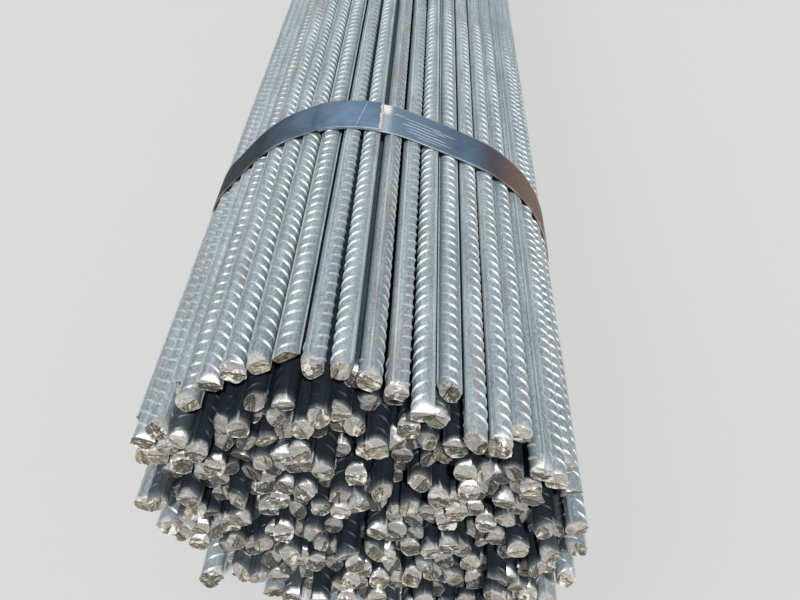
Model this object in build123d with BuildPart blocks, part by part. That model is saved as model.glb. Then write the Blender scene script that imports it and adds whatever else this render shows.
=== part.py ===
from build123d import *
import math
import os
import random

# A strapped bundle of ribbed reinforcing bars, lying level. Millimetres.
# X runs across the bundle, Y along the bars and Z up. The origin is on the floor under the
# bundle's middle. The bars are drawn plain, at the mean height of their ribs.

# The bars
bar_core = 11.4              # diameter between the ribs of a bar sold as 12 mm
rib_height = 1.1
bar_length = 6000.0          # a stock length
end_stagger = 23.6           # how far a bar may lie along from the middle, either way
inner_stagger = 14.0         # and a bar inside, from its own middle, which lies
inner_ahead = 6.0            # this much further towards the near end
even_share = 0.45            # of that stagger: the rest is cubed, so that few bars stand out
squarest_cut = 2.0           # the sheared ends, in degrees off square
steepest_cut = 11.0
blade_spread = 65.0          # degrees about straight down, in which the shear met a bar
shoulder_depth = 2.6         # the edge that the shear pressed down, measured along the bar
shoulder_slope = 38.0        # degrees off square
crop_allowance = 5.0         # what the shear takes off each end
outer_sides = 16             # the flat sides that stand for a bar's round, on the outer bars
inner_sides = 10             # and on the bars inside, of which only the ends show

# How the bars lie together
corner_gap = 0.10            # the least between the corners of neighbours
widest_gap = 0.93            # the most between a bar and the two that it lies on
outer_gap = 2.70             # between neighbours of the outer ring, which rest on those inside
first_share = 0.18           # of that pitch, from the outline's start to the first outer bar
row_count = 20               # the bars are written row by row, from the floor up
layout_seed = 5

# How far the outer bars that show from above stand out at the near end, from left to right,
# as shares of end_stagger
top_ends = [-1.0, -0.32, 0.19, 0.22, -0.7, 0.19, -0.07, -0.15, -0.15, -0.28, 0.06, 0.1]
top_ends += [0.23, 0.31, 0.69, -0.19, 1.0, 0.86, 0.14, 0.83, 0.69, -0.15]

# The bundle's section, inside the straps. The strap runs round the lobes of the heap: it leans
# to the left at its shoulder, stands upright at its right and lies flat on its foot.
bundle_width = 271.0
bundle_height = 246.0
left_shoulder_radius = 37.0
left_shoulder_height = 157.0
top_radius = 109.0
top_offset = -20.0           # left of the middle
right_side_radius = 112.0
right_side_height = 114.0
right_foot_radius = 71.0
left_foot_radius = 29.0
left_foot_offset = -10.0     # left of the middle

# The straps
strap_width = 40.0
strap_thickness = 1.2
strap_clearance = 0.3        # from the inside of a strap to the bars
strap_lap = 46.0             # where the outer end is welded down on the inner one
lap_ramp = 8.0               # where the strap climbs onto its inner end
seam_offset = -1.0           # the welded seam's place across the top of the bundle
strap_inset = 252.6          # from the ends of the bars to the middle of the first strap
strap_count = 4

bar_radius = (bar_core + rib_height) / 2
closest_pitch = 2 * bar_radius / math.cos(math.pi / inner_sides) + corner_gap
widest_pitch = 2 * bar_radius + widest_gap
outer_pitch = 2 * bar_radius + outer_gap
half_width = bundle_width / 2
top_middle = (top_offset, strap_thickness + bundle_height - top_radius)
lobes = [
    (left_shoulder_radius - half_width, strap_thickness + left_shoulder_height, left_shoulder_radius),
    (*top_middle, top_radius),
    (half_width - right_side_radius, strap_thickness + right_side_height, right_side_radius),
    (half_width - right_foot_radius, strap_thickness + right_foot_radius, right_foot_radius),
    (left_foot_offset, strap_thickness + left_foot_radius, left_foot_radius),
]


def outline(grown):
    """The bundle's section, drawn tight round its lobes and grown outwards, or in if negative."""
    with BuildSketch(Plane.XZ) as section:
        with BuildLine():
            for x, z, radius in lobes:
                CenterArc((x, z), radius + grown, 0, 360)
        make_hull()
    return section.sketch


def ring_of_bars():
    """The middles (x, z) of the outer bars, evenly spaced inside the straps."""
    line = outline(-strap_clearance - bar_radius).face().outer_wire()
    count = int(line.length / outer_pitch)
    points = [line.position_at((number + first_share) / count) for number in range(count)]
    return [(point.X, point.Z) for point in points]


def resting_place(left, right, pitch):
    """Where a bar lies in the valley between two others, or None if they are too far apart."""
    spread = math.dist(left, right)
    if spread >= 2 * pitch:
        return None
    rise = math.sqrt(pitch**2 - spread**2 / 4)
    across = (right[0] - left[0]) / spread
    up = (right[1] - left[1]) / spread
    return ((left[0] + right[0]) / 2 - rise * up, (left[1] + right[1]) / 2 + rise * across)


def is_within(place, ring):
    """True inside the ring, which turns the same way all round."""
    turns = []
    for start, end in zip(ring, ring[1:] + ring[:1]):
        along = (end[0] - start[0], end[1] - start[1])
        turns.append(along[0] * (place[1] - start[1]) > along[1] * (place[0] - start[0]))
    return all(turns) or not any(turns)


def heap_inside(ring, chance):
    """Fills the ring from the floor up: each bar takes the lowest valley that is still open."""
    bars = list(ring)
    reach = 2 * widest_pitch
    valleys = [(bar, other) for bar in bars for other in bars if 0 < math.dist(bar, other) < reach]
    while valleys:
        pitch = chance.uniform(closest_pitch, widest_pitch)
        open_valleys = []
        places = []
        for left, right in valleys:
            for trial in (pitch, closest_pitch * 1.0001):
                place = resting_place(left, right, trial)
                near = place and min(math.dist(place, bar) for bar in bars)
                if near and near >= closest_pitch and is_within(place, ring):
                    places.append(place)
                    open_valleys.append((left, right))
                    break
        valleys = open_valleys
        if places:
            lowest = min(places, key=lambda place: place[1])
            for other in bars:
                if math.dist(lowest, other) < reach:
                    valleys += [(lowest, other), (other, lowest)]
            bars.append(lowest)
    return bars[len(ring):]


chance = random.Random(layout_seed)
ring = ring_of_bars()
inner = heap_inside(ring, chance)

# The outer bars that show from above take their ends from the list
shown = sorted(sorted(ring, key=lambda place: -place[1])[:len(top_ends)])
stands_out = {place: share * end_stagger for place, share in zip(shown, top_ends)}


def shear_planes(end, outward, chance):
    """The planes that cut one end of a bar: the sheared face and the shoulder pressed down by
    the blade. The bar's longest point is level with the point end."""
    turn = math.radians(chance.gauss(-90, blade_spread))
    off_square = math.radians(chance.uniform(squarest_cut, steepest_cut))
    slope = math.radians(shoulder_slope)
    fall = 2 * bar_radius * math.tan(off_square) + shoulder_depth
    out = Vector(0, outward, 0)
    side = Vector(math.cos(turn), 0, math.sin(turn))
    tip = Vector(end) + side * bar_radius
    heel = Vector(end) - side * bar_radius - out * fall
    face = Plane(origin=tip, z_dir=out * math.cos(off_square) - side * math.sin(off_square))
    shoulder = Plane(origin=heel, z_dir=out * math.cos(slope) - side * math.sin(slope))
    return face, shoulder


def make_bar(place, stands_out, is_outer, chance):
    """One bar, with its middle line at place (x, z), moved along by stands_out towards -Y."""
    near = -bar_length / 2 - stands_out
    far = near + bar_length
    near_face, near_shoulder = shear_planes((place[0], near, place[1]), -1, chance)
    far_face, far_shoulder = shear_planes((place[0], far, place[1]), 1, chance)
    cuts = [near_face, far_face]
    if is_outer:
        cuts += [near_shoulder, far_shoulder]
    with BuildPart() as bar:
        with BuildSketch(Plane.XZ.offset(-far - crop_allowance)):
            with Locations(place):
                RegularPolygon(bar_radius, outer_sides if is_outer else inner_sides, major_radius=False)
        extrude(amount=bar_length + 2 * crop_allowance)
        for cut in cuts:
            split(bisect_by=cut, keep=Keep.BOTTOM)
    return bar.part


row_height = bundle_height / row_count
rows = [[] for number in range(row_count)]
for place in ring + inner:
    rows[int((place[1] - strap_thickness) / row_height)].append(place)

os.makedirs("parts", exist_ok=True)
filled_rows = [places for places in rows if places]
for number, places in enumerate(filled_rows, start=1):
    # The other bars of a row share out the whole stagger between them, in no order
    others = [place for place in places if place not in stands_out]
    evenly = [2 * step / max(1, len(others) - 1) - 1 for step in range(len(others))]
    shares = [even_share * step + (1 - even_share) * step**3 for step in evenly]
    chance.shuffle(shares)
    ends = stands_out | {
        place: inner_ahead + share * inner_stagger for place, share in zip(others, shares)
    }
    bars = [make_bar(place, ends[place], place in ring, chance) for place in places]
    with BuildPart() as row:
        add(bars)
    row.part.label = f"bars_row_{number:02d}"
    export_step(row.part, f"parts/{row.part.label}.step")

# A strap is a closed band round the outline, with its outer end welded down over the inner
# one. The seam is the outer end's edge, and the band climbs onto its inner end by a ramp.
band_radius = top_radius + strap_thickness
seam_angle = 90 - math.degrees((seam_offset - top_offset) / band_radius)
lap_angle = math.degrees(strap_lap / band_radius)
ramp_angle = math.degrees(lap_ramp / band_radius)
with BuildSketch(Plane.XZ) as strap_section:
    add(outline(strap_thickness))
    with BuildLine():
        over = CenterArc(top_middle, band_radius + strap_thickness, seam_angle, lap_angle)
        under = CenterArc(top_middle, top_radius, seam_angle, lap_angle + ramp_angle)
        edge = CenterArc(top_middle, band_radius, seam_angle, lap_angle + ramp_angle, mode=Mode.PRIVATE)
        Line(under @ 0, over @ 0)
        Line(over @ 1, edge @ 1)
        Line(edge @ 1, under @ 1)
    make_face()
    add(outline(0), mode=Mode.SUBTRACT)

first_strap = bar_length / 2 - strap_inset
strap_spacing = 2 * first_strap / (strap_count - 1)
for number in range(strap_count):
    middle_y = -first_strap + number * strap_spacing
    with BuildPart() as strap:
        with BuildSketch(Plane.XZ.offset(-middle_y)):
            add(strap_section.sketch)
        extrude(amount=strap_width / 2, both=True)
    strap.part.label = f"strap_{number + 1}"
    export_step(strap.part, f"parts/{strap.part.label}.step")
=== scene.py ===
import math
import random
from functools import partialmethod, reduce

import bpy
import numpy as np
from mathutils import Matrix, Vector


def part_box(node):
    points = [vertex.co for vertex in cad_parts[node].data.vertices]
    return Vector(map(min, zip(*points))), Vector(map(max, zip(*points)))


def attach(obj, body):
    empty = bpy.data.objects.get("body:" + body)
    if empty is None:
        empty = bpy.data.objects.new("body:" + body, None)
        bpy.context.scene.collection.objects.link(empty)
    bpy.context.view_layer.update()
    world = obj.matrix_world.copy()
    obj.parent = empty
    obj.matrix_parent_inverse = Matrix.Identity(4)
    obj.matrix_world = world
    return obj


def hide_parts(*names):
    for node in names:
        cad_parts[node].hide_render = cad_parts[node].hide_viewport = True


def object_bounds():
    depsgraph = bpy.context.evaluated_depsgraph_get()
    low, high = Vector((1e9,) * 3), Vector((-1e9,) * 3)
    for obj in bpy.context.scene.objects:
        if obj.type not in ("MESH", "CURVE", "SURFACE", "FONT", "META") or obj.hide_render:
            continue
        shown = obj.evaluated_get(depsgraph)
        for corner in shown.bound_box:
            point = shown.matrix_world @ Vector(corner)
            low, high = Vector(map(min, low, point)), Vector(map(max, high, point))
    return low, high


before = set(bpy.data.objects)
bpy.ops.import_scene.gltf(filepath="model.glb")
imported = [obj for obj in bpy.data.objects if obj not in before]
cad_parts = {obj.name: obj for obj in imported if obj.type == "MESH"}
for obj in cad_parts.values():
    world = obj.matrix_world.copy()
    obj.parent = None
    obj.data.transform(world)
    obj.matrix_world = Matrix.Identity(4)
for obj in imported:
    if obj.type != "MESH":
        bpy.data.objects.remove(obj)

# The looks of a strapped bundle of ribbed reinforcing bars. Metres, in the frame's own axes:
# X across, Y along the bars, Z up. Every bar's middle line, its two ends and the lean of each
# cut are read from the frame's solids. "Near" is the end at -Y, which the photo shows.
cad_low, cad_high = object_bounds()
MM = 0.001
ROW_NAMES = sorted(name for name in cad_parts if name.startswith("bars_row_"))
STRAP_NAMES = sorted(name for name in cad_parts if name.startswith("strap_"))
OWN, BRIGHT = 0, 1             # a piece's two materials: its own, and its torn faces or weld

# Reading the solids
SNAP = 1e-6                    # corners of triangles that are this close are one point
LEAST_AREA = 1e-12             # a smaller triangle has no direction
CUT_FACES_OUT = 0.95           # a cut looks along the bar by this share, its shoulder by less
SIDE_SNAP = 1e-5
MOST_INNER_SIDES = 12          # a solid with more sides is an outer bar

# Bars
CORE_RADIUS = 6.15 * MM        # between the ribs
RIB_HEIGHT = 0.8 * MM
RIB_PITCH = 8.5 * MM
RIB_WIDTH = 3.3 * MM           # at the root of a crescent, in its middle
RIB_TOP_SHARE = 0.22           # of that width, at the top
RIB_NARROWS = 0.6              # by this share towards its tips
RIB_SINK = 0.2 * MM            # how far a crescent's root lies inside the bar
RIB_CLEAR = 2.5 * MM           # the least between a crescent and the bar's tip
BAND_REACH = math.radians(72)  # a crescent reaches this far round, either way
RIB_LEAN = math.radians(27)    # off square to the bar
LENGTHWISE_HEIGHT = 0.9 * MM
LENGTHWISE_HALF = 0.6 * MM
LENGTHWISE_FOOT = 1.5          # a lengthwise rib's width at its foot, against its top
LENGTHWISE_WORN = 0.55
OUTER_STEPS = 13               # flats between the two lengthwise ribs
INNER_STEPS = 9
BAR_SHARP = math.radians(50)   # an edge that turns more is drawn sharp
DETAILED_UNTIL = -2.50         # the near stretch, where the crescents have more faces
BARE_MARGIN = 10 * MM          # ribs run this much further in than is bare
NEIGHBOUR_REACH = 22 * MM
SHOWN_TURN = math.radians(92)  # crescents whose middle is turned further inwards are hidden

# Crescents: sections between the tips, and in each the points' places across it, as shares of
# its width, and whether they are on its top
FINE_CRESCENT = (5, (-0.5, -0.5 * RIB_TOP_SHARE, 0.5 * RIB_TOP_SHARE, 0.5), (0, 1, 1, 0))
COARSE_CRESCENT = (2, (-0.5, 0.0, 0.5), (0, 1, 0))
INNER_CRESCENT = (3, (-0.5, 0.0, 0.5), (0, 1, 0))

# How the bars on top are turned in the photo: about where each lies across, in mm, how far
# its crescents are turned from straight up towards +X, in degrees, and which way they lean
TURNS_ON_TOP = [
    (-120, -10, 1), (-109, -55, 1), (-97, 25, 1), (-82, 25, 1), (-66, 30, 1), (-52, 30, 1),
    (-33, 3, -1), (-17, 68, -1), (-3, -35, -1), (13, 88, 1), (27, 72, -1), (41, -35, -1),
    (56, 3, 1), (70, 45, 1), (82, 40, 1), (94, 45, 1), (105, -78, 1), (114, 42, 1), (124, 60, 1),
]
ON_TOP_ABOVE = 20 * MM         # the outer bars this far above the heap's middle are on top

# How much shade is painted on the bars inside the heap, from 0 for an outer bar to 1
UNDER_RING = 15.5 * MM         # inner bars this close to an outer one get some light
UNDER_RING_PAINTED_SHADE = 0.86
LIT_DEPTH = (-6 * MM, 3 * MM)  # bars take on painted shade between these depths behind their neighbours
LEAST_PAINTED_SHADE = 0.50              # the share of that painted shade at their tips
DARKENS_OVER = 15 * MM         # it rises by 1 over this distance from their own tips

# Sheared ends: rings of points on a near and on a far face, as shares of the way to the rim,
# and rings behind the rim, in mm
FACE_SHARES = ((0.2, 0.4, 0.58, 0.74, 0.88, 1.0), (0.35, 0.65, 0.88, 1.0))
BACK_STEPS = ((0.7, 2.2, 4.5, 8.0, 14.0, 24.0), (0.9, 3.0, 7.0, 20.0))

# A blade leaves a round face, a half-moon under a pressed facet, or a folded face: how far it
# pressed the bar, as shares of the deepest press, and how deep the fold is, in mm
ROUND = ((0.12, 0.3), (0.0, 0.5))
HALF = ((0.5, 1.0), (0.0, 0.8))
FOLDED = ((0.25, 0.6), (1.2, 2.4))
END_SHAPES = (ROUND, HALF, HALF, FOLDED, FOLDED)
FOLD_ODDS = (1, 1, -0.6)       # a fold steps in, or out by this share
DEEPEST_PRESS = 4.4 * MM
LONGEST_PRESS = 8.5 * MM
PRESS_FROM = 1.0 * MM          # outside the core, where a press begins
BLADE_FLATTENS = 0.9           # the share of what stands out that the blade pressed in
ANVIL_FLATTENS = 0.85
ANVIL_LENGTH = 0.4             # of the length of the blade's press
BURNISH_OVER = 0.5 * MM        # a place pressed in by this much is fully burnished
BASE_SET_BACK = 0.9 * MM       # the face lies this far inside the solid's
LEAST_SET_BACK = 0.05 * MM
SLOPE_SET_BACK = 0.4           # more for a slanting face, as a share of its rise
FOLD_RAGGED = 0.16
FOLD_SHARP = 14
FACE_UNEVEN = 0.26 * MM
FOLD_PACE, FACE_PACE, RIM_PACE = 1.5, 2.6, 2.2
LIP_FROM = 0.25                # the burr is this share of the radius below the middle
RIM_UNEVEN = 0.032
RIM_FADES = 3 * MM             # this far behind the rim, its unevenness is gone
RIM_FOLLOWED = 14 * MM         # and its slant
SQUARE_INSET = 1.5 * MM        # of the rings further back, from the tip
WAVE_COUNT = 9                 # waves that add up to an uneven face
WAVE_HURRY = 0.55              # each is faster than the last by this share of the first
WAVE_WANE = 0.4                # and weaker
WAVE_TOTAL = 2.6               # brings their sum to about -1 to 1
WHOLE_TURN = 6.28              # radians, near enough

BAR_SEED = 11
RUST_ODDS = (0, 0, 0, 0.3, 0.5, 1.0)


def loose_parts(mesh):
    """Points and triangles of a mesh, with split corners joined, and each point's part."""
    points = np.empty(len(mesh.vertices) * 3)
    mesh.vertices.foreach_get("co", points)
    mesh.calc_loop_triangles()
    corners = np.empty(len(mesh.loop_triangles) * 3, dtype=np.int64)
    mesh.loop_triangles.foreach_get("vertices", corners)
    grid = np.round(points.reshape(-1, 3) / SNAP).astype(np.int64)
    places, joined = np.unique(grid, axis=0, return_inverse=True)
    triangles = joined.ravel()[corners].reshape(-1, 3)
    part = np.arange(len(places))
    while True:
        lowest = part[triangles].min(axis=1)
        merged = part.copy()
        for corner in range(3):
            np.minimum.at(merged, triangles[:, corner], lowest)
        merged = merged[merged]
        if (merged == part).all():
            return places * SNAP, triangles, part
        part = merged


def end_plane(points, triangles, outward):
    """The cut face's plane (normal, offset) and the way it leans, in X and Z."""
    a, b, c = (points[triangles[:, corner]] for corner in range(3))
    normals = np.cross(b - a, c - a)
    areas = np.linalg.norm(normals, axis=1)
    keep = areas > LEAST_AREA
    unit = normals[keep] / areas[keep, None]
    face = unit[:, 1] * outward > CUT_FACES_OUT
    normal = (unit[face] * areas[keep][face, None]).sum(axis=0)
    normal /= np.linalg.norm(normal)
    offset = (a[keep][face] @ normal).mean()
    lean = np.array([normal[0], normal[2]])
    return normal, offset, lean / np.linalg.norm(lean)


def read_bars():
    """Each bar of the solids: its row, middle line, tips, cut planes and whether it is outer."""
    bars = []
    for row in ROW_NAMES:
        points, triangles, part = loose_parts(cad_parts[row].data)
        for label in np.unique(part):
            mine = points[part == label]
            faces = triangles[part[triangles[:, 0]] == label]
            low, high = mine.min(axis=0), mine.max(axis=0)
            around = np.round(mine[:, [0, 2]] / SIDE_SNAP)
            bars.append({
                "row": row,
                "middle": np.array([(low[0] + high[0]) / 2, (low[2] + high[2]) / 2]),
                "tips": (low[1], high[1]),
                "planes": (end_plane(points, faces, -1), end_plane(points, faces, 1)),
                "outer": len(np.unique(around, axis=0)) > MOST_INNER_SIDES,
            })
    return bars


class Shells:
    """Closed shells gathered into one mesh, with a few marks on their points for the materials."""
    # one of these marks holds the shade painted on the bars inside the heap
    MARKS = ("worn", "burnish", "tone", "rust", "deep", "face_up", "face_over", "face_kind")

    def __init__(self):
        self.points, self.faces, self.kinds = [], [], []
        self.marks = {mark: [] for mark in self.MARKS}
        self.creases = []
        self.count = 0

    def add(self, points, faces, creases=0, **marks):
        """faces is a list of (corner array, material number). An edge is sharp where both its
        points carry the same number in creases, other than 0."""
        for corners, material in faces:
            self.faces.append(corners + self.count)
            self.kinds.append(np.full(len(corners), material))
        self.points.append(points)
        self.creases.append(np.broadcast_to(creases, len(points)))
        self.count += len(points)
        for mark in self.MARKS:
            self.marks[mark].append(np.broadcast_to(marks.get(mark, 0.0), len(points)))

    def mesh(self, name, materials, sharp):
        """The piece, with edges drawn sharp where they turn by more than this angle."""
        made = bpy.data.meshes.new(name)
        points = np.concatenate(self.points)
        corners = np.concatenate([faces.ravel() for faces in self.faces])
        sizes = np.concatenate([np.full(len(faces), faces.shape[1]) for faces in self.faces])
        starts = np.concatenate([[0], np.cumsum(sizes)[:-1]])
        made.vertices.add(len(points))
        made.vertices.foreach_set("co", points.ravel())
        made.loops.add(len(corners))
        made.loops.foreach_set("vertex_index", corners)
        made.polygons.add(len(sizes))
        made.polygons.foreach_set("loop_start", starts)
        made.polygons.foreach_set("material_index", np.concatenate(self.kinds))
        for material in materials:
            made.materials.append(material)
        for mark in self.MARKS:
            layer = made.attributes.new(mark, "FLOAT", "POINT")
            layer.data.foreach_set("value", np.concatenate(self.marks[mark]).astype(np.float32))
        made.update(calc_edges=True)
        made.shade_smooth()
        made.set_sharp_from_angle(angle=sharp)
        self.sharpen(made)
        made.validate()
        piece = bpy.data.objects.new(name, made)
        bpy.context.collection.objects.link(piece)
        return piece

    def sharpen(self, made):
        """Draws the creases sharp as well."""
        pairs = np.empty(len(made.edges) * 2, dtype=np.int32)
        made.edges.foreach_get("vertices", pairs)
        creases = np.concatenate(self.creases)[pairs.reshape(-1, 2)]
        layer = made.attributes.get("sharp_edge")
        layer = layer or made.attributes.new("sharp_edge", "BOOLEAN", "EDGE")
        sharp = np.empty(len(made.edges), dtype=bool)
        layer.data.foreach_get("value", sharp)
        sharp |= (creases[:, 0] == creases[:, 1]) & (creases[:, 0] > 0)
        layer.data.foreach_set("value", sharp)


def placed(flat, y):
    """Points in space from points of the section (x, z) and their y."""
    return np.column_stack([flat[:, 0], y, flat[:, 1]])


def tube_faces(rings, around):
    """Quads between rings of points, wound to face outwards as the rings run towards +Y."""
    ring, step = np.meshgrid(np.arange(rings - 1), np.arange(around), indexing="ij")
    here = ring * around + step
    over = ring * around + (step + 1) % around
    return np.stack([here, here + around, over + around, over], axis=-1)


def bar_profile(steps):
    """Angles round a bar, the radius at each and how worn it is. The lengthwise ribs stand a
    quarter turn from the middle of the crescents, either way."""
    top = LENGTHWISE_HALF / CORE_RADIUS
    foot = LENGTHWISE_FOOT * top
    span = math.pi - 2 * foot
    angles, radii, worn = [], [], []
    for quarter in (-math.pi / 2, math.pi / 2):
        for turn, height in ((-foot, 0), (-top, 1), (top, 1), (foot, 0)):
            angles.append(quarter + turn)
            radii.append(CORE_RADIUS + height * LENGTHWISE_HEIGHT)
            worn.append(LENGTHWISE_WORN * height)
        for step in range(1, steps):
            angles.append(quarter + foot + span * step / steps)
            radii.append(CORE_RADIUS)
            worn.append(0.0)
    return np.array(angles), np.array(radii), np.array(worn)


class End:
    """One sheared end: how the blade pressed the bar, and the broken face."""

    def __init__(self, bar, side, chance):
        self.outward = (-1, 1)[side]
        self.shares = FACE_SHARES[side]
        self.steps = BACK_STEPS[side]
        self.normal, self.offset, self.blade = bar["planes"][side]
        self.sideways = np.array([-self.blade[1], self.blade[0]])
        self.middle = bar["middle"]
        self.tip = bar["tips"][side]
        self.wall = bar["wall"][side]
        self.kind = chance.random() ** 1.3
        press, fold_depths = chance.choice(END_SHAPES)
        self.press = DEEPEST_PRESS * chance.uniform(*press)
        self.press_length = LONGEST_PRESS * chance.uniform(0.4, 1.0)
        self.anvil_press = DEEPEST_PRESS * chance.uniform(0.08, 0.4)
        self.bulge = chance.uniform(0.06, 0.13) if bar["outer"] else chance.uniform(0.0, 0.05)
        self.fold = chance.uniform(-0.5, 0.3)
        self.fold_depth = chance.uniform(*fold_depths) * MM * chance.choice(FOLD_ODDS)
        self.fold_tilt = chance.uniform(-0.4, 0.4)
        self.lip = chance.uniform(0.0, 1.0) * MM
        self.cup = chance.uniform(-0.9, 1.1) * MM
        self.slope = chance.uniform(-0.42, 0.22)
        self.waves = [
            (chance.uniform(-1, 1), chance.uniform(-1, 1), chance.uniform(0, WHOLE_TURN))
            for _ in range(WAVE_COUNT)
        ]

    def rough(self, along, across, pace):
        """A smooth uneven height, about -1 to 1, over the face."""
        total = 0.0
        for number, (first, second, phase) in enumerate(self.waves):
            faster = pace * (1 + number * WAVE_HURRY)
            wave = np.sin(faster * (first * along + second * across) / CORE_RADIUS + phase)
            total = total + wave / (1 + number * WAVE_WANE)
        return total / WAVE_TOTAL

    def pressed(self, flat, inward):
        """Points of the bar's section (N, 2), pressed as they are this far from the tip, and
        how burnished they are."""
        along, across = flat @ self.blade, flat @ self.sideways
        near = np.clip(1 - inward / self.press_length, 0, 1)
        limit = CORE_RADIUS + PRESS_FROM - (self.press + PRESS_FROM) * near**1.2
        over = np.maximum(along - limit, 0)
        along = along - BLADE_FLATTENS * over * (near > 0)
        anvil_near = np.clip(1 - inward / (ANVIL_LENGTH * self.press_length), 0, 1)
        limit = CORE_RADIUS + PRESS_FROM - (self.anvil_press + PRESS_FROM) * anvil_near
        along = along + ANVIL_FLATTENS * np.maximum(-along - limit, 0)
        across = across * (1 + self.bulge * near**2)
        burnish = np.clip(over / BURNISH_OVER, 0, 1) * (near > 0)
        return along[:, None] * self.blade + across[:, None] * self.sideways, burnish

    def plane_y(self, flat):
        """Where the solid's cut is, at these points of the section."""
        x, z = (self.middle + flat).T
        return (self.offset - self.normal[0] * x - self.normal[2] * z) / self.normal[1]

    def rim_shine(self):
        """How bright each ring is for lying on the rim, where the burr is."""
        return np.array([float(share == 1.0) for share in self.shares] + [0.0] * len(self.steps))

    def painted_shade_depths(self, y):
        """How much shade is painted at these places, for how far inside the bundle's end they lie,
        from 0 to 1.
        """
        behind = (self.wall - y) * self.outward
        shaded = (behind - LIT_DEPTH[0]) / (LIT_DEPTH[1] - LIT_DEPTH[0])
        from_tip = LEAST_PAINTED_SHADE + (self.tip - y) * self.outward / DARKENS_OVER
        return np.clip(np.maximum(shaded, from_tip), LEAST_PAINTED_SHADE, 1)

    def face_depth(self, along, across, up, share):
        """How far the torn face lies inside the solid's cut, at the points of one ring."""
        ragged = up + FOLD_RAGGED * self.rough(across, along * 0.3, FOLD_PACE)
        depth = BASE_SET_BACK + self.fold_depth / (1 + np.exp(-ragged * FOLD_SHARP))
        rise = SLOPE_SET_BACK * abs(self.slope) * CORE_RADIUS
        depth = depth + rise - min(self.fold_depth, 0)
        depth = depth + self.cup * (1 - share**2) - self.slope * along
        depth = depth + FACE_UNEVEN * self.rough(along, across, FACE_PACE)
        lip = np.clip(-along / CORE_RADIUS - LIP_FROM, 0, 1) * self.lip * (share == 1.0)
        return np.maximum(depth - lip, LEAST_SET_BACK)

    def rings(self, angles, radii):
        """Rings of points from the middle of the face to the rim and back along the bar, and
        their marks: burnish, face_up and face_over from the fold, and face_kind."""
        round_bar = np.stack([np.cos(angles), np.sin(angles)], axis=-1) * radii[:, None]
        rim, _ = self.pressed(round_bar, np.zeros(len(angles)))
        rim = rim * (1 + RIM_UNEVEN * self.rough(rim[:, 0], rim[:, 1], RIM_PACE))[:, None]
        points, burnish, ups, overs = [], [], [], []
        for share in self.shares:
            flat = rim * share
            along, across = flat @ self.blade, flat @ self.sideways
            up = along / CORE_RADIUS - self.fold - self.fold_tilt * across / CORE_RADIUS
            y = self.plane_y(flat) - self.outward * self.face_depth(along, across, up, share)
            points.append(placed(self.middle + flat, y))
            burnish.append(np.full(len(angles), 1.0))
            ups.append(up)
            overs.append(across / CORE_RADIUS)
        rim_y = y
        uneven = self.rough(rim[:, 0], rim[:, 1], RIM_PACE)
        for inward in (step * MM for step in self.steps):
            flat, shine = self.pressed(round_bar, np.full(len(angles), inward))
            fade = max(0.0, 1 - inward / RIM_FADES)
            flat = flat * (1 + RIM_UNEVEN * fade * uneven)[:, None]
            follow = np.clip(1 - inward / RIM_FOLLOWED, 0, 1)
            square = self.tip - self.outward * SQUARE_INSET
            y = rim_y * follow + square * (1 - follow) - self.outward * inward
            points.append(placed(self.middle + flat, y))
            burnish.append(np.clip(shine + 0.5 * fade, 0, 1))
            ups.append(ups[-1])
            overs.append(overs[-1])
        return np.array(points), np.array([burnish, ups, overs, np.full_like(burnish, self.kind)])


def add_bar(shells, bar, ends):
    """The bar itself: a closed tube with its lengthwise ribs and its two broken faces."""
    angles, radii, worn = bar_profile(OUTER_STEPS if bar["outer"] else INNER_STEPS)
    angles = angles + bar["roll"]
    near, near_marks = ends[0].rings(angles, radii)
    far, far_marks = ends[1].rings(angles, radii)
    rings = np.concatenate([near, far[::-1]])
    count, around = rings.shape[:2]
    caps = np.array([rings[0].mean(axis=0), rings[-1].mean(axis=0)])
    points = np.concatenate([rings.reshape(-1, 3), caps])
    marks = np.concatenate([near_marks, far_marks[:, ::-1]], axis=1)
    cap_marks = np.stack([marks[:, 0].mean(axis=1), marks[:, -1].mean(axis=1)], axis=1)
    marks = np.concatenate([marks.reshape(len(marks), -1), cap_marks], axis=1)
    burnish, face_up, face_over, face_kind = marks
    rim_shine = np.concatenate([ends[0].rim_shine(), ends[1].rim_shine()[::-1]])[:, None]
    worn = np.maximum(worn[None, :] * (rim_shine == 0), rim_shine).ravel()
    worn = np.concatenate([worn, [0.0, 0.0]])
    # painted shade on the bar's sides: the further inside the bundle's end, the darker
    deep = bar["deep"] * np.minimum(ends[0].painted_shade_depths(points[:, 1]), ends[1].painted_shade_depths(points[:, 1]))
    quads = tube_faces(count, around)
    step = np.arange(around)
    over = (step + 1) % around
    last = (count - 1) * around
    near_fan = np.stack([np.full(around, count * around), step, over], axis=-1)
    far_fan = np.stack([np.full(around, count * around + 1), last + over, last + step], axis=-1)
    on_near, on_far = len(FACE_SHARES[0]) - 1, len(FACE_SHARES[1]) - 1
    faces = [
        (quads[:on_near].reshape(-1, 4), BRIGHT),
        (quads[on_near:-on_far].reshape(-1, 4), OWN),
        (quads[-on_far:].reshape(-1, 4), BRIGHT),
        (near_fan, BRIGHT),
        (far_fan, BRIGHT),
    ]
    shells.add(points, faces, worn=worn, burnish=burnish, tone=bar["tone"], rust=bar["rust"],
               deep=deep, face_up=face_up, face_over=face_over, face_kind=face_kind)


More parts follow.
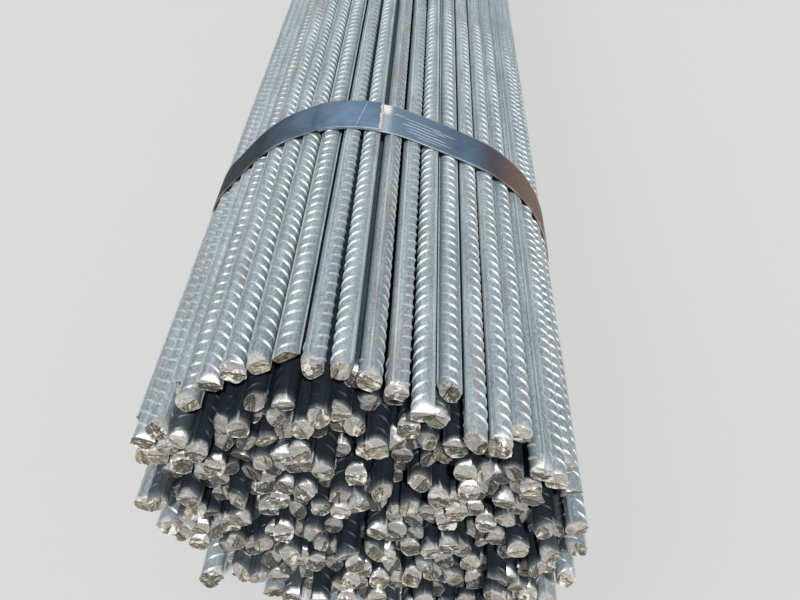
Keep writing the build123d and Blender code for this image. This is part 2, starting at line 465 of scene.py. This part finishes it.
def crescent(hand, stations, offsets, raised):
    """The points of one crescent rib, from tip to tip: the angle round the bar, the radius, the
    shift along the bar, the wear and the crease of each."""
    inner = np.linspace(-1, 1, stations + 2)[1:-1]
    height = RIB_HEIGHT * (1 - np.abs(inner) ** 2.2)
    width = RIB_WIDTH * (1 - RIB_NARROWS * np.abs(inner) ** 1.5)
    root = CORE_RADIUS - RIB_SINK
    rise = (np.array(raised)[None, :] * (height[:, None] + RIB_SINK)).ravel()
    shift = (np.array(offsets)[None, :] * width[:, None]).ravel()
    angle = np.repeat(inner * BAND_REACH, len(offsets))
    shift = shift + hand * math.tan(RIB_LEAN) * angle * CORE_RADIUS
    tip_angle = np.array([-BAND_REACH, BAND_REACH])
    tip_shift = hand * math.tan(RIB_LEAN) * tip_angle * CORE_RADIUS
    return (
        np.concatenate([tip_angle[:1], angle, tip_angle[1:]]),
        np.concatenate([[root], root + rise, [root]]),
        np.concatenate([tip_shift[:1], shift, tip_shift[1:]]),
        np.concatenate([[0.0], np.tile(raised, stations), [0.0]]),
        np.concatenate([[0], np.tile(np.arange(len(offsets)) + 1, stations), [0]]),
    )


def crescent_faces(stations, ring, count):
    """The faces of this many crescents, each of rings of this many points between two tips."""
    size = stations * ring + 2
    first = 1 + np.arange(stations)[:, None] * ring
    here = first + np.arange(ring)[None, :]
    over = first + (np.arange(ring)[None, :] + 1) % ring
    start = np.stack([np.zeros(ring, int), over[0], here[0]], axis=-1)
    finish = np.stack([here[-1], over[-1], np.full(ring, size - 1)], axis=-1)
    quads = np.stack([here[:-1], over[:-1], over[1:], here[1:]], axis=-1).reshape(-1, 4)
    each = (np.arange(count) * size)[:, None, None]
    return [((faces[None] + each).reshape(-1, faces.shape[1]), OWN)
            for faces in (start, finish, quads)]


def add_crescents(shells, bar, ends, band, places, detail):
    """Crescent ribs on one side of a bar, each a closed shell sunk a little into it. They run
    out to nothing towards the lengthwise ribs."""
    if len(places) == 0:
        return
    angle, radius, shift, worn, creases = crescent(bar["hand"], *detail)
    turn = bar["roll"] + band + angle
    y = (places[:, None] + shift[None, :]).ravel()
    flat = np.stack([np.cos(turn) * radius, np.sin(turn) * radius], axis=-1)
    flat = np.tile(flat, (len(places), 1))
    burnish = np.zeros(len(flat))
    # painted shade on the crescents, as on the bar beneath them
    deep = bar["deep"] * np.minimum(ends[0].painted_shade_depths(y), ends[1].painted_shade_depths(y))
    for end in ends:
        inward = (end.tip - y) * end.outward
        close = inward < end.press_length
        if close.any():
            flat[close], burnish[close] = end.pressed(flat[close], np.maximum(inward[close], 0))
    stations, offsets, _ = detail
    shells.add(placed(bar["middle"] + flat, y), crescent_faces(stations, len(offsets), len(places)),
               np.tile(creases, len(places)), worn=np.tile(worn, len(places)), burnish=burnish,
               tone=bar["tone"], rust=bar["rust"], deep=deep)


def add_ribs(shells, bar, ends, heap_middle, chance):
    """The crescents that can be seen: along the outward sides and near the ends."""
    outward = bar["middle"] - heap_middle
    facing = math.atan2(outward[1], outward[0])
    near_tip, far_tip = bar["tips"]
    reach = math.tan(RIB_LEAN) * BAND_REACH * CORE_RADIUS
    for band in (0.0, math.pi):
        places = np.arange(0, far_tip - near_tip, RIB_PITCH)
        places = near_tip + chance.uniform(0, RIB_PITCH) + places
        places = places[places > near_tip + reach + RIB_CLEAR]
        places = places[places < far_tip - reach - RIB_CLEAR]
        bare_near, bare_far = places < bar["bare"][0], places > bar["bare"][1]
        if bar["outer"]:
            turned = abs(math.remainder(bar["roll"] + band - facing, 2 * math.pi))
            shown = turned < SHOWN_TURN
            close = places < DETAILED_UNTIL
            chosen = [(close & (shown | bare_near), FINE_CRESCENT),
                      (~close & (shown | bare_far), COARSE_CRESCENT)]
        else:
            chosen = [(bare_near, INNER_CRESCENT), (bare_far, INNER_CRESCENT)]
        for which, detail in chosen:
            add_crescents(shells, bar, ends, band, places[which], detail)


# Materials
class Value:
    """A node's output, to reckon with in a material."""

    def __init__(self, look, socket):
        self.look, self.socket = look, socket

    def maths(self, kind, other=0.0):
        made = self.look.nodes.new("ShaderNodeMath")
        made.operation = kind
        self.look.plug(self, made.inputs[0])
        self.look.plug(other, made.inputs[1])
        return Value(self.look, made.outputs["Value"])

    __add__ = partialmethod(maths, "ADD")
    __sub__ = partialmethod(maths, "SUBTRACT")
    __mul__ = partialmethod(maths, "MULTIPLY")
    most = partialmethod(maths, "MAXIMUM")

    def spread(self, low, high, to_low=0.0, to_high=1.0):
        """Maps low..high to to_low..to_high, held at the ends."""
        ends = {"From Min": low, "From Max": high, "To Min": to_low, "To Max": to_high}
        return self.look.node("MapRange", "Result", Value=self, **ends)


class Look:
    """A material in the making. Colours are values or (red, green, blue)."""

    def __init__(self, name):
        self.material = bpy.data.materials.new(name)
        self.material.use_nodes = True
        self.nodes = self.material.node_tree.nodes
        self.links = self.material.node_tree.links
        self.nodes.clear()
        output = self.nodes.new("ShaderNodeOutputMaterial")
        shader = self.nodes.new("ShaderNodeBsdfPrincipled")
        self.links.new(shader.outputs["BSDF"], output.inputs["Surface"])
        self.shader = shader.inputs
        self.colour = None

    def plug(self, value, socket):
        """Links a node's output to a socket, or sets the socket's own value."""
        if isinstance(value, Value):
            self.links.new(value.socket, socket)
        else:
            socket.default_value = value

    def node(self, kind, output, **inputs):
        made = self.nodes.new("ShaderNode" + kind)
        for name, value in inputs.items():
            self.plug(value, made.inputs[name])
        return Value(self, made.outputs[output])

    def place(self):
        return self.node("TexCoord", "Object")

    def mark(self, name):
        made = self.node("Attribute", "Fac")
        made.socket.node.attribute_name = name
        return made

    def noise(self, vector, scale, detail, roughness, distortion=0.0, stretch=None):
        """Cloudy noise. stretch gives its pace along each axis, where it isn't even."""
        if stretch:
            vector = self.node("Mapping", "Vector", Vector=vector, Scale=stretch)
        return self.node("TexNoise", "Fac", Vector=vector, Scale=scale, Detail=detail,
                         Roughness=roughness, Distortion=distortion)

    def mixed(self, share, first, second):
        made = self.nodes.new("ShaderNodeMix")
        made.data_type = "RGBA"
        self.plug(share, made.inputs["Factor"])
        for name, colour in (("A", first), ("B", second)):
            self.plug((*colour, 1) if isinstance(colour, tuple) else colour, made.inputs[name])
        return Value(self, made.outputs["Result"])

    def paint(self, share, colour):
        """Lays a colour over what is there, by this share."""
        self.colour = self.mixed(share, self.colour, colour)

    def finish(self, metallic, roughness, specular=0.5, relief=None):
        """Sets the shader and gives the material. relief is height, strength and distance."""
        if relief:
            inputs = dict(zip(("Height", "Strength", "Distance"), relief))
            self.plug(self.node("Bump", "Normal", **inputs), self.shader["Normal"])
        names = ("Base Color", "Metallic", "Roughness", "Specular IOR Level")
        for name, value in zip(names, (self.colour, metallic, roughness, specular)):
            self.plug(value, self.shader[name])
        return self.material


def bar_steel():
    """Blue-grey mill scale, rubbed pale on the ribs, with thin streaks, a little rust and painted
    shade on the bars inside the heap.
    """
    look = Look("bar_steel")
    place = look.place()
    streaks = look.noise(place, 520.0, 4.0, 0.55, stretch=(1.0, 0.04, 1.0))
    clouds = look.noise(place, 70.0, 4.0, 0.55, stretch=(1.0, 0.3, 1.0))
    flakes = look.noise(place, 760.0, 4.0, 0.78, stretch=(1.0, 0.5, 1.0))
    blots = look.noise(place, 170.0, 5.0, 0.65, stretch=(1.0, 0.1, 1.0))
    grain = look.noise(place, 2400.0, 3.0, 0.65)
    deep, burnish = look.mark("deep"), look.mark("burnish")
    # Scale, lighter and darker by the bar and in clouds, with pale and dark flakes
    shade = streaks * 0.5 + clouds * 0.5 + look.mark("tone") * 0.07
    look.colour = look.mixed(shade.spread(0.36, 0.66), (0.28, 0.352, 0.395), (0.51, 0.592, 0.625))
    look.paint(flakes.spread(0.52, 0.64, 0.0, 0.65), (0.76, 0.81, 0.82))
    look.paint(flakes.spread(0.46, 0.34, 0.0, 0.65), (0.13, 0.17, 0.205))
    # Rubbed ribs, rust, painted shade on the bars inside the heap and what the blade burnished
    rubbed = look.mark("worn") * clouds.spread(0.3, 0.6, 0.6, 1.0)
    look.paint(rubbed * 0.7, (0.84, 0.86, 0.83))
    stain = blots.spread(0.5, 0.62) * look.mark("rust")
    look.paint(stain * 0.55, (0.36, 0.295, 0.275))
    # painted shade: the inner bars turn near black behind the bundle's end, where light doesn't
    # reach
    look.paint(deep * 0.96, (0.014, 0.021, 0.032))
    look.paint(burnish * flakes.spread(0.36, 0.56, 0.35, 0.95), (0.7, 0.695, 0.675))
    rough = flakes.spread(0.3, 0.7, 0.54, 0.42) - rubbed * 0.04 - burnish * 0.14 + stain * 0.2
    relief = grain + streaks + flakes * 1.6
    # the specular level drops with the painted shade as well
    return look.finish(0.5, rough, deep.spread(0.4, 1.0, 0.5, 0.05), (relief, 0.5, 0.00016))


def sheared_steel():
    """Freshly sheared steel: a burnished band where the blade went in, a dark line on the fold,
    partly a crack and partly painted shade, then a torn grey to straw face, and painted shade on
    the ends inside the heap. The marks say where a point lies from the fold."""
    look = Look("sheared_steel")
    kind, up = look.mark("face_kind"), look.mark("face_up")
    # 37 keeps the noise of one face well away from the next one's
    on_face = look.node("CombineXYZ", "Vector", X=look.mark("face_over"), Y=up, Z=kind * 37.0)
    tears = look.noise(on_face, 1.5, 3.0, 0.5, 0.5, stretch=(0.7, 3.0, 1.0))
    fibres = look.noise(on_face, 2.6, 3.0, 0.55, 0.4, stretch=(0.6, 3.2, 1.0))
    facets = look.noise(on_face, 1.05, 1.5, 0.4, 0.4)
    patches = look.noise(on_face, 1.2, 2.0, 0.5)
    bright = look.noise(on_face, 1.0, 2.0, 0.5, 0.5)
    mottle = look.noise(on_face, 2.8, 3.0, 0.6)
    wobble = look.noise(on_face, 2.6, 3.0, 0.6)
    grain = look.noise(look.place(), 2600.0, 3.0, 0.65)
    # Patches, mottle, bright zones and fibres, then painted shade on the ends inside the heap
    pale = look.mixed(kind, (0.105, 0.09, 0.063), (0.52, 0.45, 0.32))
    dull = look.mixed(kind, (0.034, 0.03, 0.023), (0.165, 0.142, 0.1))
    look.colour = look.mixed(patches.spread(0.38, 0.6), dull, pale)
    look.paint(mottle.spread(0.56, 0.66, 0.0, 0.35), (0.78, 0.7, 0.57))
    look.paint(mottle.spread(0.42, 0.33, 0.0, 0.5), (0.06, 0.05, 0.04))
    look.paint(bright.spread(0.575, 0.63, 0.0, 0.97), (0.99, 0.97, 0.89))
    look.paint(fibres.spread(0.48, 0.38, 0.0, 0.6), (0.085, 0.07, 0.052))
    look.paint(fibres.spread(0.58, 0.66, 0.0, 0.75), (0.97, 0.95, 0.87))
    # painted shade: the ends of the bars inside the heap turn near black
    look.paint(look.mark("deep").spread(0.55, 1.0, 0.0, 0.85), (0.035, 0.035, 0.036))
    # The burnished band above the fold, the fold's crack with painted shade in its step, pits,
    # grain and the burr on the rim
    from_fold = up + (wobble - 0.5) * 0.55
    look.paint(from_fold.spread(0.03, 0.1) * 0.45, (0.74, 0.71, 0.67))
    # a dark line along the fold: partly a crack, partly painted shade where the fold steps in or
    # out
    crack_and_fold_shade = from_fold.maths("ABSOLUTE").spread(0.075, 0.02) * patches.spread(0.44, 0.54)
    dark = crack_and_fold_shade.most(tears.spread(0.33, 0.27) * 0.6)
    look.paint(dark * 0.8, (0.075, 0.063, 0.055))
    look.paint(grain.spread(0.5, 0.72, 0.0, 0.3), (0.8, 0.76, 0.7))
    rim = look.mark("worn").maths("POWER", 2.5) * mottle.spread(0.42, 0.56)
    look.paint(rim * 0.8, (0.88, 0.85, 0.78))
    relief = tears * 0.3 + grain * 0.08 + mottle * 0.1 + facets * 3.0 - dark * 0.8
    return look.finish(0.35, patches.spread(0.35, 0.65, 0.5, 0.32), 0.3, (relief, 0.85, 0.001))


# The bars, row by row
def set_looks(bars, heap_middle, chance):
    """Gives each bar its surroundings, its turn about its own line and its looks."""
    for bar in bars:
        gaps = [(math.dist(bar["middle"], other["middle"]), other) for other in bars]
        beside = [other for gap, other in gaps if 0 < gap < NEIGHBOUR_REACH]
        bar["bare"] = (
            max(other["tips"][0] for other in beside) + BARE_MARGIN,
            min(other["tips"][1] for other in beside) - BARE_MARGIN,
        )
        bar["wall"] = [np.mean([other["tips"][side] for other in beside]) for side in (0, 1)]
        under_ring = min(gap for gap, other in gaps if other["outer"]) < UNDER_RING
        # how much shade is painted on the bar: none on an outer bar, less just under the ring of
        # outer bars
        bar["deep"] = 0.0 if bar["outer"] else UNDER_RING_PAINTED_SHADE if under_ring else 1.0
        bar["roll"] = chance.uniform(0, 2 * math.pi)
        bar["hand"] = chance.choice((-1, 1))
        bar["tone"] = chance.uniform(-1, 1)
        bar["rust"] = chance.choice(RUST_ODDS)
    highest = heap_middle[1] + ON_TOP_ABOVE
    on_top = [bar for bar in bars if bar["outer"] and bar["middle"][1] > highest]
    for across, turn, hand in TURNS_ON_TOP:
        bar = min(on_top, key=lambda bar: abs(bar["middle"][0] - across * MM))
        on_top = [other for other in on_top if other is not bar]
        bar["roll"] = math.radians(90 - turn)
        bar["hand"] = hand


bars = read_bars()
chance = random.Random(BAR_SEED)
heap_middle = np.mean([bar["middle"] for bar in bars], axis=0)
set_looks(bars, heap_middle, chance)
bar_looks = [bar_steel(), sheared_steel()]
for row in ROW_NAMES:
    shells = Shells()
    for bar in bars:
        if bar["row"] == row:
            ends = [End(bar, 0, chance), End(bar, 1, chance)]
            add_bar(shells, bar, ends)
            add_ribs(shells, bar, ends, heap_middle, chance)
    piece = shells.mesh(row.replace("row", "ribbed_row"), bar_looks, BAR_SHARP)
    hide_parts(row)
    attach(piece, "root")

# Straps
STRAP_INSIDE = 6.545 * MM      # from an outer bar's middle line to the inside of a strap
STRAP_THICKNESS = 1.2 * MM
STRAP_WIDTH = 40.0 * MM
STRAP_BEVEL = 0.28 * MM
STRAP_LAP = 46.0 * MM
LAP_RAMP = 8.0 * MM
LAP_SPACING = (4 * MM, 2.5 * MM)  # points along the lap's inner and outer end
STRAP_SHARP = math.radians(35)
STRAP_SEED = 5
SEAM_ACROSS = -1.0 * MM
SEAM_FACES_UP = 0.5            # so that the seam isn't sought on the underside
EDGE_WANDER = 0.25 * MM        # the edges wander in two waves
WANDER_PACES = (71, 173)
WANDER_SECOND = 0.6
BAND_TURNS = np.radians(np.arange(90, -270, -1.5))  # the ways in which the bars' reach is read
BAND_SPACING = 3.0 * MM        # points along the strap
BAND_SMOOTHINGS = 30
SMOOTHING_STEPS = (0.5, -0.52)  # in and out again, so that smoothing doesn't draw the strap in
BAND_EASE = 0.15 * MM          # it stands off this much more between the bars
BAND_CLEAR = 0.02 * MM         # and stays this far inside the solids' box

# The weld bead on the seam
BEAD_HALF = 1.6 * MM
BEAD_HEIGHT = 0.7 * MM
BEAD_FOOT = 1.7 * STRAP_THICKNESS
BEAD_SINK = 0.3 * MM
BEAD_INSET = 0.4 * MM          # from the strap's edges
BEAD_SPOTS, BEAD_BENDS = 40, 6  # points across the strap and over the bead
BEAD_SWELL = (0.85, 0.15, 1300, 730)  # its middle size, the share that varies, two paces
BEAD_TIPS = 0.3
BEAD_DRIFT, DRIFT_PACE = 0.35 * MM, 410

# Along a strap, from the seam over the top towards +X, in metres: where its stain and other
# zones set in and where they end
STAIN_SEEN = (0.07, 0.122)     # on the first strap
STAIN_UNTIL, STAIN_FADES = 0.42, 0.06
SHADED_FROM, SHADED_TO = (0.4, 0.55), (0.72, 0.785)
SUNLIT_FROM, SUNLIT_TO = (0.0, 0.003), (0.075, 0.03)
SCALD_FROM, SCALD_TO = (-0.001, 0.0005), (0.009, 0.005)

# Scratches on the first strap as the photo shows them: start and end along the strap from
# the seam, place across it at the start, slope, half width. Metres.
SCRATCHES_SEEN = [
    (0.016, 0.05, 0.0068, -0.01, 0.00042), (0.009, 0.018, 0.0085, 0.00, 0.00045),
    (0.019, 0.054, 0.0024, -0.02, 0.00045), (0.015, 0.046, -0.0018, -0.015, 0.00048),
    (0.019, 0.055, -0.006, -0.02, 0.0005), (0.018, 0.058, -0.0102, -0.015, 0.00044),
    (0.028, 0.05, -0.0138, -0.01, 0.00038), (0.04, 0.062, 0.0045, 0.00, 0.00036),
]
SLANTED_BEFORE_SEAM = (0.018, 0.0115)  # where the slanted one starts and ends
SLANTED = (-0.0195, 6.0, 0.0011)
SCRATCH_CORE = 0.35            # the share of a scratch's width that is fully bright
SCRATCH_FADE = 0.12            # the share of its length in which it fades out
SCRATCH_COUNT = 7              # on each of the other straps


def smoothed(points):
    for step in SMOOTHING_STEPS * BAND_SMOOTHINGS:
        beside = (np.roll(points, 1, axis=0) + np.roll(points, -1, axis=0)) / 2
        points = points + step * (beside - points)
    return points


def lengths_along(points, **closing):
    steps = np.linalg.norm(np.diff(points, axis=0, **closing), axis=1)
    return np.concatenate([[0.0], np.cumsum(steps)])


def between(where, lengths, values):
    """Two-column values at these lengths along a line."""
    return np.stack([np.interp(where, lengths, values[:, k]) for k in (0, 1)], axis=-1)


def band_line():
    """The closed line drawn tight round the outer bars, from the seam over the top to +X and
    back, smoothed as stiff strap would be: points, ways out and lengths along it."""
    middles = np.array([bar["middle"] for bar in bars if bar["outer"]])
    ways = np.stack([np.cos(BAND_TURNS), np.sin(BAND_TURNS)], axis=-1)
    reached = (ways @ middles.T).argmax(axis=1)
    tight = middles[reached] + (STRAP_INSIDE + BAND_EASE) * ways
    tight = np.vstack([tight, tight[:1]])
    lengths = lengths_along(tight)
    count = int(lengths[-1] / BAND_SPACING)
    even = np.linspace(0, lengths[-1], count, endpoint=False)
    points = smoothed(between(even, lengths, tight))
    slack = STRAP_THICKNESS + BAND_CLEAR
    points[:, 0] = np.clip(points[:, 0], cad_low[0] + slack, cad_high[0] - slack)
    points[:, 1] = np.clip(points[:, 1], slack, cad_high[2] - STRAP_THICKNESS - slack)
    ahead = np.roll(points, -1, axis=0) - np.roll(points, 1, axis=0)
    outs = np.stack([-ahead[:, 1], ahead[:, 0]], axis=-1)
    outs /= np.linalg.norm(outs, axis=1)[:, None]
    top = np.where(outs[:, 1] > SEAM_FACES_UP)[0]
    seam = top[np.abs(points[top, 0] - SEAM_ACROSS).argmin()]
    points, outs = np.roll(points, -seam, axis=0), np.roll(outs, -seam, axis=0)
    return points, outs, lengths_along(points, append=points[:1])


def on_band(line, along):
    """Points and ways out at these lengths along the closed line."""
    points, outs, lengths = line
    where = np.mod(along, lengths[-1])
    flat = between(where, lengths, np.vstack([points, points[:1]]))
    way = between(where, lengths, np.vstack([outs, outs[:1]]))
    return flat, way / np.linalg.norm(way, axis=1)[:, None]


class StrapShells(Shells):
    MARKS = ("along", "across", "edge", "stained")


def strip_faces(count, around, material, way=1):
    """The faces of a strip of rings with both ends shut. way is -1 where the rings turn the
    other way round."""
    quads = tube_faces(count, around).reshape(-1, 4)[:, ::way]
    first = np.arange(around)[None, ::-way]
    last = first[:, ::-1] + (count - 1) * around
    return [(faces, material) for faces in (quads, first, last)]


def add_band(shells, line, middle_y, stain, phases):
    """The strip, swept along the line, with its outer end lapped over its inner one."""
    lengths = line[2]
    total = lengths[-1]
    lap_start = total - STRAP_LAP
    ramp_start = lap_start - LAP_RAMP
    along = np.unique(np.concatenate([
        lengths[:-1], [-STRAP_LAP, ramp_start, lap_start, total],
        np.arange(-STRAP_LAP, 0, LAP_SPACING[0]),
        total - np.arange(0, STRAP_LAP + LAP_RAMP, LAP_SPACING[1]),
    ]))
    flat, way = on_band(line, along)
    climb = np.clip((along - ramp_start) / LAP_RAMP, 0, 1)
    climb = climb * climb * (3 - 2 * climb) * STRAP_THICKNESS
    half, bevel, thick = STRAP_WIDTH / 2, STRAP_BEVEL, STRAP_THICKNESS
    section = np.array([
        (-half + bevel, 0), (0, 0), (half - bevel, 0),
        (half, bevel), (half, thick - bevel),
        (half - bevel, thick), (half - 4 * bevel, thick), (0, thick),
        (-half + 4 * bevel, thick), (-half + bevel, thick),
        (-half, thick - bevel), (-half, bevel),
    ])
    edge = (np.abs(section[:, 0]) > half - 1.5 * bevel).astype(float)
    first, second = (np.sin(along * pace + phase) for pace, phase in zip(WANDER_PACES, phases))
    wander = EDGE_WANDER * (first + WANDER_SECOND * second)
    across = np.tile(section[:, 0], (len(along), 1)) + wander[:, None]
    height = section[None, :, 1] + climb[:, None]
    flat = flat[:, None] + way[:, None] * height[:, :, None]
    points = placed(flat.reshape(-1, 2), (middle_y + across).ravel())
    stained = np.clip((along - stain[0]) / (stain[1] - stain[0]), 0, 1)
    stained = stained * np.clip((STAIN_UNTIL - along) / STAIN_FADES, 0, 1)
    count, around = across.shape
    shells.add(points, strip_faces(count, around, OWN), along=np.repeat(along, around),
               across=np.tile(section[:, 0], count), edge=np.tile(edge, count),
               stained=np.repeat(stained, around))


def add_bead(shells, line, middle_y, phases):
    """The weld bead, which runs across the strap on the seam."""
    half = STRAP_WIDTH / 2
    run = np.linspace(-half + BEAD_INSET, half - BEAD_INSET, BEAD_SPOTS)
    size, varies, pace, other_pace = BEAD_SWELL
    lumps = np.sin(run * pace + phases[0]) * np.sin(run * other_pace + phases[1])
    swell = size + varies * lumps
    swell[0] = swell[-1] = BEAD_TIPS
    drift = BEAD_DRIFT * np.sin(run * DRIFT_PACE + phases[0])
    bend = np.linspace(0, math.pi, BEAD_BENDS)
    side = np.concatenate([np.cos(bend), [0.0]])
    rise = np.concatenate([np.sin(bend) * BEAD_HEIGHT, [-BEAD_SINK]])
    at = side[None, :] * BEAD_HALF * swell[:, None] + drift[:, None]
    flat, way = on_band(line, at.ravel())
    lift = (BEAD_FOOT + rise[None, :] * swell[:, None]).ravel()
    ring = len(side)
    across = np.repeat(run, ring)
    points = placed(flat + way * lift[:, None], middle_y + across)
    shells.add(points, strip_faces(BEAD_SPOTS, ring, BRIGHT, -1), across=across)


def chance_scratches(total, chance):
    """Scratches on a strap that the photo doesn't show."""
    scratches = []
    for _ in range(SCRATCH_COUNT):
        start = chance.uniform(-0.1, 0.14) % total
        end = start + chance.uniform(0.01, 0.05)
        across, slope = chance.uniform(-0.016, 0.016), chance.uniform(-0.06, 0.06)
        scratches.append((start, end, across, slope, chance.uniform(0.0002, 0.0004)))
    return scratches


def scratch(along, across, start, end, place, slope, width):
    """A thin line on the strap, fading out at both ends."""
    off = (across - ((along - start) * slope + place)).maths("ABSOLUTE")
    fade = SCRATCH_FADE * (end - start)
    line = off.spread(width, SCRATCH_CORE * width) * along.spread(start, start + fade)
    return line * along.spread(end, end - fade)


def strap_steel(name, scratches):
    """Blued strap steel: scuffed, scratched, bare on its edges, browned and rusty at one side."""
    look = Look(name)
    place = look.place()
    along, across, edge = look.mark("along"), look.mark("across"), look.mark("edge")
    flat = look.node("CombineXYZ", "Vector", X=along, Y=across)
    clouds = look.noise(flat, 38.0, 4.0, 0.6)
    brush = look.noise(flat, 900.0, 4.0, 0.6, stretch=(0.05, 1.0, 1.0))
    runs = look.noise(flat, 330.0, 6.0, 0.72, stretch=(0.45, 1.0, 1.0))
    broken = look.noise(flat, 700.0, 3.0, 0.6, stretch=(1.0, 0.5, 1.0))
    grain = look.noise(place, 2200.0, 3.0, 0.6)
    specks = look.noise(place, 520.0, 4.0, 0.65)
    blisters = look.noise(place, 620.0, 4.0, 0.7)
    # Bluing with brushed streaks, paler in the sun and dark on the side in the shade
    dark_blue, pale_blue = (0.085, 0.153, 0.243), (0.172, 0.288, 0.428)
    look.colour = look.mixed(clouds.spread(0.35, 0.65), dark_blue, pale_blue)
    look.paint(brush.spread(0.45, 0.75, 0.0, 0.35), (0.34, 0.42, 0.53))
    sunlit = along.spread(*SUNLIT_FROM) * along.spread(*SUNLIT_TO)
    look.paint(sunlit * 0.5, (0.36, 0.5, 0.64))
    shaded = along.spread(*SHADED_TO, 1.0, 0.0) * along.spread(*SHADED_FROM)
    look.paint(shaded * 0.95, (0.016, 0.022, 0.03))
    # Browned first, then rust with dark runs in it, and specks all over
    ragged = look.mark("stained") + (clouds - 0.5) * 0.7
    look.paint(ragged.spread(0.15, 0.5, 0.0, 0.85), (0.135, 0.095, 0.12))
    look.paint(ragged.spread(0.6, 0.95, 0.0, 0.85), (0.28, 0.165, 0.11))
    runs = runs.spread(0.46, 0.62) * ragged.spread(0.15, 0.5)
    look.paint(runs * 0.5, (0.085, 0.07, 0.07))
    look.paint(specks.spread(0.6, 0.68) * 0.35, (0.3, 0.24, 0.2))
    # Broken scratches, the weld's white scald beside the seam, and bare edges
    lines = [scratch(along, across, *values) for values in scratches]
    marks = reduce(Value.most, lines) * broken.spread(0.36, 0.5, 0.45, 1.0)
    look.paint(marks * 0.9, (0.86, 0.88, 0.9))
    scald = along.spread(*SCALD_TO) * along.spread(*SCALD_FROM)
    scald = scald * across.spread(0.004, 0.01, 0.3, 1.0) * blisters.spread(0.34, 0.48)
    look.paint(scald * 0.95, (0.92, 0.9, 0.8))
    rim = edge * clouds.spread(0.38, 0.62, 0.05, 0.6)
    look.paint(rim, (0.5, 0.46, 0.4))
    bare = scald.most(marks.most(rim))
    metal = bare.spread(0.0, 0.8, 0.6, 0.1) * shaded.spread(0.0, 1.0, 1.0, 0.1)
    rough = brush.spread(0.3, 0.7, 0.26, 0.42)
    rough = rough + edge.most(shaded) * 0.3 + ragged.spread(0.4, 0.9) * 0.25
    relief = brush + grain * 0.6 - marks * 1.2
    return look.finish(metal, rough, 0.2, (relief, 0.3, 0.00012))


def weld_steel():
    """The bright beaded weld on a strap's seam."""
    look = Look("weld_steel")
    lumps = look.noise(look.place(), 900.0, 4.0, 0.6)
    look.colour = look.mixed(lumps.spread(0.38, 0.6), (0.5, 0.49, 0.46), (0.93, 0.92, 0.86))
    return look.finish(0.5, lumps.spread(0.3, 0.7, 0.3, 0.5), relief=(lumps, 0.8, 0.0005))


line = band_line()
strap_total = line[2][-1]
weld = weld_steel()
chance = random.Random(STRAP_SEED)
for name in STRAP_NAMES:
    if name == STRAP_NAMES[0]:
        slanted = (*(strap_total - before for before in SLANTED_BEFORE_SEAM), *SLANTED)
        scratches = [*SCRATCHES_SEEN, slanted]
        stain = STAIN_SEEN
    else:
        scratches = chance_scratches(strap_total, chance)
        stain_from = chance.uniform(0.06, 0.16)
        stain = (stain_from, stain_from + chance.uniform(0.04, 0.09))
    first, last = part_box(name)
    middle_y = (first[1] + last[1]) / 2
    phases = [chance.uniform(0, WHOLE_TURN) for _ in range(4)]
    shells = StrapShells()
    add_band(shells, line, middle_y, stain, phases[:2])
    add_bead(shells, line, middle_y, phases[2:])
    looks = [strap_steel("blued_" + name, scratches), weld]
    piece = shells.mesh(name.replace("strap", "steel_strap"), looks, STRAP_SHARP)
    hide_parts(name)
    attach(piece, "root")

# The floor, which looks pale but doesn't light the object from below
FLOOR_HALF = 40.0
FLOOR_SEEN = (0.6, 0.6, 0.59)
FLOOR_BOUNCE = (0.22, 0.22, 0.215)
corners = [(-1, -1), (1, -1), (1, 1), (-1, 1)]
floor_mesh = bpy.data.meshes.new("floor")
floor_mesh.from_pydata([(x * FLOOR_HALF, y * FLOOR_HALF, 0) for x, y in corners], [], [range(4)])
floor = bpy.data.objects.new("floor", floor_mesh)
bpy.context.collection.objects.link(floor)
look = Look("pale_floor")
seen = look.node("LightPath", "Is Camera Ray").most(look.node("LightPath", "Is Glossy Ray"))
look.colour = look.mixed(seen, FLOOR_BOUNCE, FLOOR_SEEN)
floor_mesh.materials.append(look.finish(0.0, 0.9))


# Light and camera
def sun(name, strength, spread_degrees, towards):
    light = bpy.data.lights.new(name, "SUN")
    light.energy = strength
    light.angle = math.radians(spread_degrees)
    made = bpy.data.objects.new(name, light)
    bpy.context.collection.objects.link(made)
    made.rotation_mode = "QUATERNION"
    made.rotation_quaternion = Vector(towards).to_track_quat("-Z", "Y")


sun("key", 3.5, 4, (-0.14, 0.6, -0.8))
sun("fill", 0.2, 40, (0.7, 0.3, -0.6))
sun("rear", 0.35, 50, (0.2, -0.75, -0.5))     # so that the far end isn't left black

world = bpy.data.worlds.new("studio")
bpy.context.scene.world = world
world.use_nodes = True
sky = world.node_tree.nodes["Background"].inputs
sky["Color"].default_value = (0.93, 0.96, 1.0, 1)
sky["Strength"].default_value = 0.2

CAMERA_PLACE = (0.038, -3.3064, 0.572)
CAMERA_HEADING = 2.46          # degrees to the left of the bars
CAMERA_PITCH = 35.75           # degrees down
FRAME_WIDTH, FRAME_HEIGHT = 800, 600
FOCAL_PIXELS = 850.0
AXIS_ROW = 200.0               # the row of the frame where the lens axis lands
SENSOR_WIDTH = 36.0
lens = bpy.data.cameras.new("camera")
lens.sensor_width = SENSOR_WIDTH
lens.lens = SENSOR_WIDTH * FOCAL_PIXELS / FRAME_WIDTH
lens.shift_y = (AXIS_ROW - FRAME_HEIGHT / 2) / FRAME_WIDTH
lens.clip_start = 0.01
lens.clip_end = 200
camera = bpy.data.objects.new("camera", lens)
bpy.context.collection.objects.link(camera)
camera.location = CAMERA_PLACE
camera.rotation_euler = (math.radians(90 - CAMERA_PITCH), 0, math.radians(CAMERA_HEADING))
bpy.context.scene.camera = camera
bpy.context.scene.view_settings.view_transform = "Standard"
